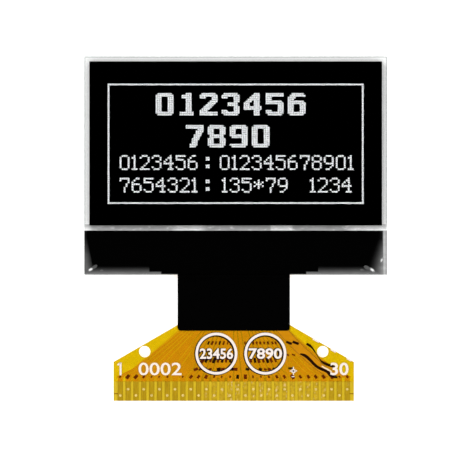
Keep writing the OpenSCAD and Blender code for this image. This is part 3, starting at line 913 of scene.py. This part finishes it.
class OLED_OT_glass_finish(bpy.types.Operator):
    """Finish the polarizer, both sheets of glass, the seal and what lies in the hollow"""

    bl_idname = "oled.glass_finish"
    bl_label = "Glass Finish"

    def execute(self, context):
        glass, hollow = context.scene.oled_glass, 0.4 * MM
        finish_nodes(polarizer_look(context.scene.oled_display), "polarizer_film")
        glue = layer_look("optical_glue", (0.7, 0.7, 0.66), "Up", 0.0, 0.8, roughness=(0.1, 0.2), scale=6.0)
        finish_nodes(glue, "polarizer_adhesive")
        finish_nodes(glass_look("front_glass", glass, GLASS_LOW, GLASS_HIGH, 0.0), "substrate_glass")
        finish_nodes(glass_look("back_glass", glass, CAP_LOW, CAP_HIGH, 0.8, hollow), "cap_glass")
        finish_nodes(seal_look(glass), "seal_bead")
        solid_finish("desiccant_white", (0.78, 0.77, 0.73), "desiccant_sheet", spread=0.12,
                     roughness=(0.7, 0.9), scale=14.0, detail=6.0, relief=0.01)
        solid_finish("desiccant_glue", (0.72, 0.66, 0.5), "desiccant_adhesive", roughness=(0.3, 0.5),
                     scale=5.0)
        part_faces("polarizer_film", "polarizer_adhesive", "substrate_glass", "cap_glass")
        return {"FINISHED"}


class OLED_OT_layer_finish(bpy.types.Operator):
    """Finish the layers of the display and their leads on the glass"""

    bl_idname = "oled.layer_finish"
    bl_label = "Layer Finish"

    def execute(self, context):
        clear = layer_look("clear_electrode", (0.5, 0.55, 0.6), "Up", 0.04, 0.1, roughness=(0.1, 0.2),
                           scale=6.0)
        finish_nodes(clear, "anode_columns")
        solid_finish("insulator_brown", (0.05, 0.03, 0.015), "pixel_insulator", "cathode_separators",
                     roughness=(0.3, 0.4), scale=8.0)
        solid_finish("organic_dark", (0.012, 0.012, 0.016), "organic_rows", spread=0.25, roughness=(0.2, 0.3),
                     scale=3.0)
        solid_finish("cathode_silver", (0.78, 0.78, 0.79), "cathode_rows", spread=0.05,
                     roughness=(0.16, 0.28), scale=2.0, stretch=(0.1, 1, 1), Metallic=1.0)
        solid_finish("lead_metal", (0.72, 0.72, 0.72), "column_leads", "row_leads", "tail_leads", spread=0.2,
                     roughness=(0.2, 0.35), scale=1.2, detail=5.0, Metallic=0.1)
        part_faces("anode_columns")
        return {"FINISHED"}


class OLED_OT_ledge_finish(bpy.types.Operator):
    """Finish the chip, its bond film and bumps, and the black resin"""

    bl_idname = "oled.ledge_finish"
    bl_label = "Ledge Finish"

    def execute(self, context):
        resin = context.scene.oled_glass.resin
        solid_finish("silicon_grey", (0.006, 0.006, 0.007), "driver_chip", spread=0.2, roughness=(0.12, 0.18),
                     scale=4.0, stretch=(0.1, 4, 1), Specular_IOR_Level=0.3)
        solid_finish("bump_gold", (0.75, 0.52, 0.2), "chip_bumps", spread=0.08, roughness=(0.25, 0.35),
                     scale=40.0, Metallic=1.0)
        solid_finish("bond_film_dark", (0.002, 0.002, 0.002), "chip_bond_film", "tail_bond_film", spread=0.4,
                     roughness=(0.15, 0.2), scale=25.0, Specular_IOR_Level=0.3)
        solid_finish("resin_black", resin, "ledge_resin", spread=0.3, roughness=(0.12, 0.2), scale=1.3,
                     relief=0.0008, Specular_IOR_Level=0.3, detail=4.0)
        solid_finish("bead_black", resin, "front_bead", spread=0.3, roughness=(0.3, 0.4), scale=3.0,
                     Specular_IOR_Level=0.008)
        return {"FINISHED"}


class OLED_OT_tail_finish(bpy.types.Operator):
    """Finish the films, the copper, the pads and the shield of the tail"""

    bl_idname = "oled.tail_finish"
    bl_label = "Tail Finish"

    def execute(self, context):
        tail = context.scene.oled_tail
        finish_nodes(film_look(tail), "tail_base_film")
        solid_finish("trace_copper", tail.copper, "front_traces", spread=0.15, roughness=(0.4, 0.55),
                     scale=1.1, detail=5.0, Specular_IOR_Level=0.1)
        finish_nodes(pad_look(tail), "front_pads", "back_pads")
        solid_finish("via_plating", (0.85, 0.66, 0.3), "via_barrels", roughness=(0.3, 0.4), scale=20.0,
                     Metallic=0.3)
        for side, face in (("front", "Up"), ("back", "Down")):
            cover = layer_look("cover_" + side, tail.cover, face, tail.cover_opacity, 0.6, spread=0.08,
                               roughness=(0.12, 0.2), scale=0.8, detail=5.0, relief=0.0003,
                               Specular_IOR_Level=0.3)
            finish_nodes(cover, side + "_coverlay")
        solid_finish("shield_black", tail.shield, "neck_shield_front", "neck_shield_back", spread=0.3,
                     roughness=(0.14, 0.2), scale=18.0, relief=0.0001, Specular_IOR_Level=0.25)
        part_faces("front_coverlay", "back_coverlay")
        return {"FINISHED"}


# --- Print on the tail ---

# Side and distance from the middle of the tail of each ring, in millimetres
RINGS = (("left", -1.53), ("right", 2.79))
RINGS_UP = 2.45
NUMBERS_UP = 1.1

# Strokes of the star: turn in degrees and length in millimetres
STAR_STROKES = ((0, 0.62), (45, 0.4), (90, 0.72), (135, 0.4))

# Flecks along the slanted edge: distance from the tail's right edge, height above the pads and length in
# millimetres
SLANT_FLECKS = ((3.35, 3.62, 0.62), (1.82, 2.72, 0.5), (0.42, 1.93, 0.5))
SLANT_TURN = -29


class OLED_OT_printed_rings(bpy.types.Operator):
    """Print the two white rings with their digits, and a painted shadow beneath them, shifted to the lower
    left
    """

    bl_idname = "oled.printed_rings"
    bl_label = "Printed Rings"

    def execute(self, context):
        settings = context.scene.oled_print
        # edge is the dark brown of the painted shadows under the print
        ink, edge = ink_look(settings), mark_look(context.scene.oled_tail)
        halo, height = settings.halo, settings.ink_height
        under = 0.3 * height
        outer = settings.ring_d / 2
        inner = outer - settings.ring_line
        wide, tall = settings.ring_text_w, settings.ring_text
        for side, x in RINGS:
            body = getattr(settings, side + "_mark")
            at = on_cover(TAIL_X + x * MM, RINGS_UP)
            shifted = at - Vector((0.4 * halo, 0.2 * halo, 0))
            add_piece("ring_" + side, flat_ring(at, outer, inner, height), "print_ink", ink)
            add_piece("ring_edge_" + side, flat_ring(shifted, outer + 0.5 * halo, inner - 0.9 * halo, under),
                      "black_resin", edge)
            digits = text_mesh(body, (wide, tall), height, at, 0.026)
            add_piece("ring_digits_" + side, digits, "print_ink", ink)
            shadow = text_mesh(body, (wide + halo, tall + 1.5 * halo), under, shifted, 0.085)
            add_piece("digits_edge_" + side, shadow, "black_resin", edge)
        return {"FINISHED"}


class OLED_OT_printed_numbers(bpy.types.Operator):
    """Print the numbers of the first and last pin, and the digits beside the first"""

    bl_idname = "oled.printed_numbers"
    bl_label = "Printed Numbers"

    def execute(self, context):
        settings = context.scene.oled_print
        ink, tall, height = ink_look(settings), settings.pin_text, settings.ink_height
        bm = bmesh.new()
        first = on_cover(TAIL_LOW.x + 0.55 * MM, NUMBERS_UP)
        add_bar(bm, first + Vector((0.07 * MM, 0, 0)), 0.17 * MM, tall, height)
        add_bar(bm, first + Vector((-0.08 * MM, 0.39 * tall, 0)), 0.3 * MM, 0.14 * MM, height, 40)
        add_piece("first_pin_number", bm, "print_ink", ink)
        for name, body, x, wide, weight in (
                ("last_pin_number", str(PINS), TAIL_HIGH.x - 1.28 * MM, 1.6, 0.02),
                ("count_mark", settings.count_mark, TAIL_LOW.x + 4.1 * MM, 3.8, 0.01)):
            digits = text_mesh(body, (wide * MM, tall), height, on_cover(x, NUMBERS_UP), weight)
            add_piece(name, digits, "print_ink", ink)
        return {"FINISHED"}


class OLED_OT_edge_flecks(bpy.types.Operator):
    """Add the worn white flecks: a star beside the right ring and three along the slanted edge"""

    bl_idname = "oled.edge_flecks"
    bl_label = "Edge Flecks"

    def execute(self, context):
        settings = context.scene.oled_print
        height, ink = settings.ink_height, ink_look(settings)
        bm = bmesh.new()
        star = on_cover(TAIL_X + 5.26 * MM, 0.92)
        for turn, size in STAR_STROKES:
            add_bar(bm, star, size * MM, 0.09 * MM, height, turn)
        add_bar(bm, star + Vector((-0.03, -0.5, 0)) * MM, 0.26 * MM, 0.07 * MM, height)
        add_piece("star_fleck", bm, "print_ink", ink)
        bm = bmesh.new()
        for left, up, size in SLANT_FLECKS:
            add_bar(bm, on_cover(TAIL_HIGH.x - left * MM, up), size * MM, 0.16 * MM, height, SLANT_TURN)
        add_piece("slant_flecks", bm, "print_ink", ink)
        return {"FINISHED"}


# Marks above the pads, one sign for each pin, and the size of each sign: # is black and the others are faint,
# and a point leaves the pin without a mark
PIN_MARKS = "-oo+---.-+++---#o---++o++++o-+"
MARK_SIZES = {"#": 1.3, "o": 1.3, "+": 1.05, "-": 0.7}

# Rows of marks between the traces: height above the pads, first and last place from the middle of the tail,
# step, length along and across the traces, all in millimetres, and signs that are used in turn
MARK_ROWS = (
    (1.07, -3.35, -1.8, 0.42, 0.17, 0.27, "o+"),
    (1.07, -1.35, 0.35, 0.38, 0.19, 0.25, "#o+"),
    (1.07, 1.2, 4.3, 0.39, 0.19, 0.26, "#o.#+o"),
    (1.86, -3.1, 0.1, 0.35, 0.36, 0.18, "#o#+"),
    (1.86, 1.5, 3.8, 0.36, 0.34, 0.17, "+#o"),
    (3.39, -2.2, 0.0, 0.33, 0.3, 0.13, "#o+"),
    (3.39, 1.0, 4.2, 0.34, 0.24, 0.14, "+o+"),
    (3.4, 4.85, 5.6, 0.6, 0.16, 0.4, "#"),
    (2.34, 4.75, 5.7, 0.5, 0.14, 0.3, "+"),
)

# Points of the strips beside the last pin: distance from the tail's right edge and height above the pads in
# millimetres, and share of the width
OUTER_STRIP = ((4.18, 3.32, 0.7), (3.95, 3.2, 1.0), (3.75, 3.05, 0.7), (3.35, 2.5, 0.25), (2.99, 1.89, 0.3),
               (2.71, 1.64, 0.9), (2.2, 1.42, 1.0), (1.69, 1.27, 0.6))
INNER_STRIP = ((4.75, 2.42, 0.4), (4.45, 2.36, 1.0), (4.03, 2.08, 1.0), (3.44, 1.42, 0.9), (3.0, 1.13, 0.9),
               (2.35, 0.92, 1.1), (2.05, 0.55, 1.3), (1.7, 0.4, 0.9), (1.45, 0.35, 0.6))
# The pale strip is a painted highlight
HIGHLIGHT_STRIP = ((2.85, 1.35, 0.6), (2.6, 1.2, 1.0), (2.13, 0.95, 1.0), (1.95, 0.85, 0.5))
FILL_STRIP = ((6.5, 4.7, 1.0), (5.2, 3.25, 1.0), (4.0, 2.15, 1.0), (2.9, 1.15, 0.9), (2.2, 0.6, 0.6))


def mark_turn(place, along, across):
    """Turn in degrees of a mark that leans with the traces, and less if it lies across them."""
    if along > across:
        return max(min(place * 9 - 8, 34), -38)
    return max(min(-place * 8, 20), -20)


class OLED_OT_trace_marks(bpy.types.Operator):
    """Add the dark marks between the traces, and the strips beside the last pin, one of them a painted
    highlight
    """

    bl_idname = "oled.trace_marks"
    bl_label = "Trace Marks"

    def execute(self, context):
        tail = context.scene.oled_tail
        mark, thickness = mark_look(tail), 0.0015 * MM
        dark, faint = bmesh.new(), bmesh.new()
        chance = random.Random(tail.seed)
        marks = [(sign, pin_x(pin) / MM, 0.41, 0.3, 0.2) for pin, sign in enumerate(PIN_MARKS)]
        for up, first, last, step, along, across, signs in MARK_ROWS:
            for turn in range(int((last - first) / step) + 1):
                marks.append((signs[turn % len(signs)], first + turn * step, up, along, across))
        for sign, place, up, along, across in marks:
            if sign in MARK_SIZES:
                size = MARK_SIZES[sign] * chance.uniform(0.85, 1.15) * MM
                at = on_cover(TAIL_X + (place + chance.uniform(-0.03, 0.03)) * MM, up)
                add_bar(dark if sign == "#" else faint, at, across * size, along * size, thickness,
                        mark_turn(place, along, across))
        for x in (TAIL_LOW.x + 0.2 * MM, TAIL_HIGH.x - 0.2 * MM):
            add_bar(faint, Vector((x, PADS_HIGH.y - 1.09 * MM, TAIL_HIGH.z)), 0.34 * MM, 0.06 * MM, thickness)
        add_bar(dark, on_cover(TAIL_X + 5.05 * MM, 1.16), 0.5 * MM, 0.16 * MM, thickness)
        add_piece("trace_marks", dark, "black_resin", mark)
        brown = solid_look("mark_brown", tail.faint_mark, spread=0.3, roughness=(0.3, 0.4), scale=3.0,
                           Specular_IOR_Level=0.05)
        add_piece("faint_marks", faint, "black_resin", brown)
        copper = solid_look("fill_copper", (0.46, 0.185, 0.002), spread=0.08, roughness=(0.3, 0.4), scale=3.0,
                            Specular_IOR_Level=0.1)
        # pale is the colour of the painted highlight strip
        pale = solid_look("strip_pale", (0.72, 0.55, 0.35), spread=0.15, roughness=(0.3, 0.4), scale=6.0)
        for name, points, wide, layers, slot, look in (
                ("fill_strip", FILL_STRIP, 0.85, 0.8, "trace_copper", copper),
                ("outer_strip", OUTER_STRIP, 0.25, 1.6, "black_resin", mark),
                ("inner_strip", INNER_STRIP, 0.27, 1.8, "black_resin", mark),
                ("pale_strip", HIGHLIGHT_STRIP, 0.16, 2.0, "print_ink", pale)):
            add_piece(name, ribbon_mesh(name, points, wide * MM, layers * thickness), slot, look)
        return {"FINISHED"}


class OLED_OT_via_plugs(bpy.types.Operator):
    """Fill the small plated holes of the pads with bright solder"""

    bl_idname = "oled.via_plugs"
    bl_label = "Via Plugs"

    def execute(self, context):
        bm = bmesh.new()
        for pin in range(PINS):
            up = 1.03 if pin % 2 else 0.48
            at = Vector((TAIL_X + pin_x(pin), PADS_LOW.y + up * MM, PADS_HIGH.z))
            add_blob(bm, at, (0.1, 0.11, 0.012))
        solder = solid_look("via_solder", (0.58, 0.43, 0.13), spread=0.3, roughness=(0.3, 0.4), scale=8.0,
                            Specular_IOR_Level=0.3)
        add_piece("via_plugs", bm, "plated_pads", solder)
        return {"FINISHED"}


# Glints in the corners of the ledge: distance from the nearer side of the glass (negative at the right),
# height above its lower edge, length in millimetres, and turn in degrees
GLINTS = ((0.57, 0.47, 0.4, 30), (-0.47, 1.29, 0.36, 68), (-1.32, 0.43, 0.42, -38))
FAINT_GLINTS = ((0.9, 0.7, 0.7, 32), (1.54, 0.37, 0.4, 0), (-2.2, 0.42, 0.5, -12), (-1.75, 0.62, 0.8, -26))

# Name, places, swelling and brightness of each layer of glints
GLINT_LAYERS = (("glint_faint", FAINT_GLINTS, 0.8, 0.075), ("glint_soft", GLINTS, 1.4, 0.2),
                ("glint_bright", GLINTS, 0.85, 0.68))


class OLED_OT_ledge_coat(bpy.types.Operator):
    """Coat the ledge of the glass black, with painted light where it thins and on the seal strip, and add the
    glints in its corners
    """

    bl_idname = "oled.ledge_coat"
    bl_label = "Ledge Coat"

    def execute(self, context):
        thin = 0.002 * MM
        level = GLASS_LOW.z + thin
        low = Vector((GLASS_LOW.x + MICRON, GLASS_LOW.y + MICRON, level))
        high = Vector((GLASS_HIGH.x - MICRON, FILM_LOW.y + 0.1 * MM, level + thin))
        bm = bmesh.new()
        add_box(bm, (low + high) / 2, high - low)
        add_piece("ledge_coat", bm, "black_resin", coat_look(context.scene.oled_glass))
        for name, places, swell, shade in GLINT_LAYERS:
            bm = bmesh.new()
            for x, up, size, turn in places:
                edge = GLASS_LOW.x if x > 0 else GLASS_HIGH.x
                at = Vector((edge + x * MM, GLASS_LOW.y + up * MM, level + (0.003 + 0.001 * shade) * MM))
                add_blob(bm, at, (size * swell / 2, size * swell / 4, 0.001), turn)
            glint = solid_look(name, (shade, shade, shade), spread=0.3, roughness=(0.3, 0.4), scale=4.0,
                               Specular_IOR_Level=0.1)
            add_piece(name, bm, "seal", glint)
        return {"FINISHED"}


# --- Stage ---

FLOOR_GAP = 0.02 * MM


class OLED_OT_stage(bpy.types.Operator):
    """Set up the floor, the soft light and the camera"""

    bl_idname = "oled.stage"
    bl_label = "Stage"

    def execute(self, context):
        settings = context.scene.oled_stage
        self.add_floor(settings)
        self.add_sky(context, settings)
        self.add_lamp("key_softbox", (-0.35, 0.25, 0.45), 0.4, settings.key)
        self.add_lamp("fill_softbox", (0.4, -0.3, 0.4), 0.5, settings.key * 0.5)
        self.add_camera(context, settings)
        context.scene.view_settings.view_transform = "Standard"
        return {"FINISHED"}

    def add_floor(self, settings):
        bm = bmesh.new()
        bmesh.ops.create_grid(bm, x_segments=1, y_segments=1, size=3.0)
        bmesh.ops.translate(bm, verts=bm.verts, vec=(0, 0, CAD_LOW.z - FLOOR_GAP))
        floor = add_object("floor", to_mesh("floor", bm))
        white = solid_look("floor_white", settings.floor, spread=0.01, roughness=(0.7, 0.8), scale=0.05,
                           Specular_IOR_Level=0.1, Emission_Color=WHITE,
                           Emission_Strength=settings.floor_glow)
        floor.data.materials.append(white)

    def add_sky(self, context, settings):
        """A softbox dome, open round the zenith and bright from there down to the horizon."""
        world = bpy.data.worlds.new("softbox_dome")
        world.use_nodes = True
        tree = world.node_tree
        tree.nodes.clear()
        rise = separate(tree, tree.nodes.new("ShaderNodeTexCoord").outputs["Generated"])["Z"]
        dome = map_range(tree, rise, 0.82, 0.92, settings.sky, 0.0)
        horizon = map_range(tree, rise, 0.15, 0.45, 1.0 / settings.sky, 1.0)
        mirrored = tree.nodes.new("ShaderNodeLightPath").outputs["Is Glossy Ray"]
        mirrored_share = map_range(tree, mirrored, 0.0, 1.0, 1.0, settings.mirrored_sky)
        strength = product(tree, dome, horizon, mirrored_share)
        background = add_node(tree, "ShaderNodeBackground", {"Color": WHITE, "Strength": strength})
        add_node(tree, "ShaderNodeOutputWorld", {"Surface": background.outputs[0]})
        context.scene.world = world

    def add_lamp(self, name, place, size, power):
        lamp = bpy.data.lights.new(name, "AREA")
        lamp.size = size
        lamp.energy = power
        holder = add_object(name, lamp)
        holder.location = place
        holder.rotation_euler = (-Vector(place)).to_track_quat("-Z", "Y").to_euler()
        holder.visible_camera = False
        holder.visible_glossy = False

    def add_camera(self, context, settings):
        camera = bpy.data.cameras.new("camera")
        camera.lens = settings.lens
        camera.clip_start = 0.001
        camera.clip_end = 10.0
        distance = settings.view_w * camera.lens / camera.sensor_width
        holder = add_object("camera", camera)
        holder.location = (settings.view_x, settings.view_y, COVER_HIGH.z + distance)
        context.scene.camera = holder


# --- Panel and registration ---


class OLED_PT_module(bpy.types.Panel):
    """Lists the settings and the steps of the module"""

    bl_idname = "OLED_PT_module"
    bl_label = "OLED Module"
    bl_space_type = "VIEW_3D"
    bl_region_type = "UI"
    bl_category = "OLED Module"

    def draw(self, context):
        for step in STEPS:
            self.layout.operator(step.bl_idname)
        for name, _ in SETTINGS:
            box = self.layout.box()
            group = getattr(context.scene, name)
            for key in group.__annotations__:
                box.prop(group, key)


SETTINGS = (
    ("oled_display", DisplaySettings),
    ("oled_glass", GlassSettings),
    ("oled_tail", TailSettings),
    ("oled_print", PrintSettings),
    ("oled_stage", StageSettings),
)
STEPS = (
    OLED_OT_stage,
    OLED_OT_glass_finish,
    OLED_OT_layer_finish,
    OLED_OT_ledge_finish,
    OLED_OT_tail_finish,
    OLED_OT_dot_mask,
    OLED_OT_lit_dots,
    OLED_OT_ledge_coat,
    OLED_OT_via_plugs,
    OLED_OT_trace_marks,
    OLED_OT_printed_rings,
    OLED_OT_printed_numbers,
    OLED_OT_edge_flecks,
)
CLASSES = (*(group for _, group in SETTINGS), *STEPS, OLED_PT_module)


def register():
    for cls in CLASSES:
        bpy.utils.register_class(cls)
    for name, group in SETTINGS:
        setattr(bpy.types.Scene, name, PointerProperty(type=group))


def unregister():
    for name, _ in SETTINGS:
        delattr(bpy.types.Scene, name)
    for cls in reversed(CLASSES):
        bpy.utils.unregister_class(cls)


def main():
    register()
    for step in STEPS:
        category, name = step.bl_idname.split(".")
        getattr(getattr(bpy.ops, category), name)()


if __name__ == "__main__":
    main()
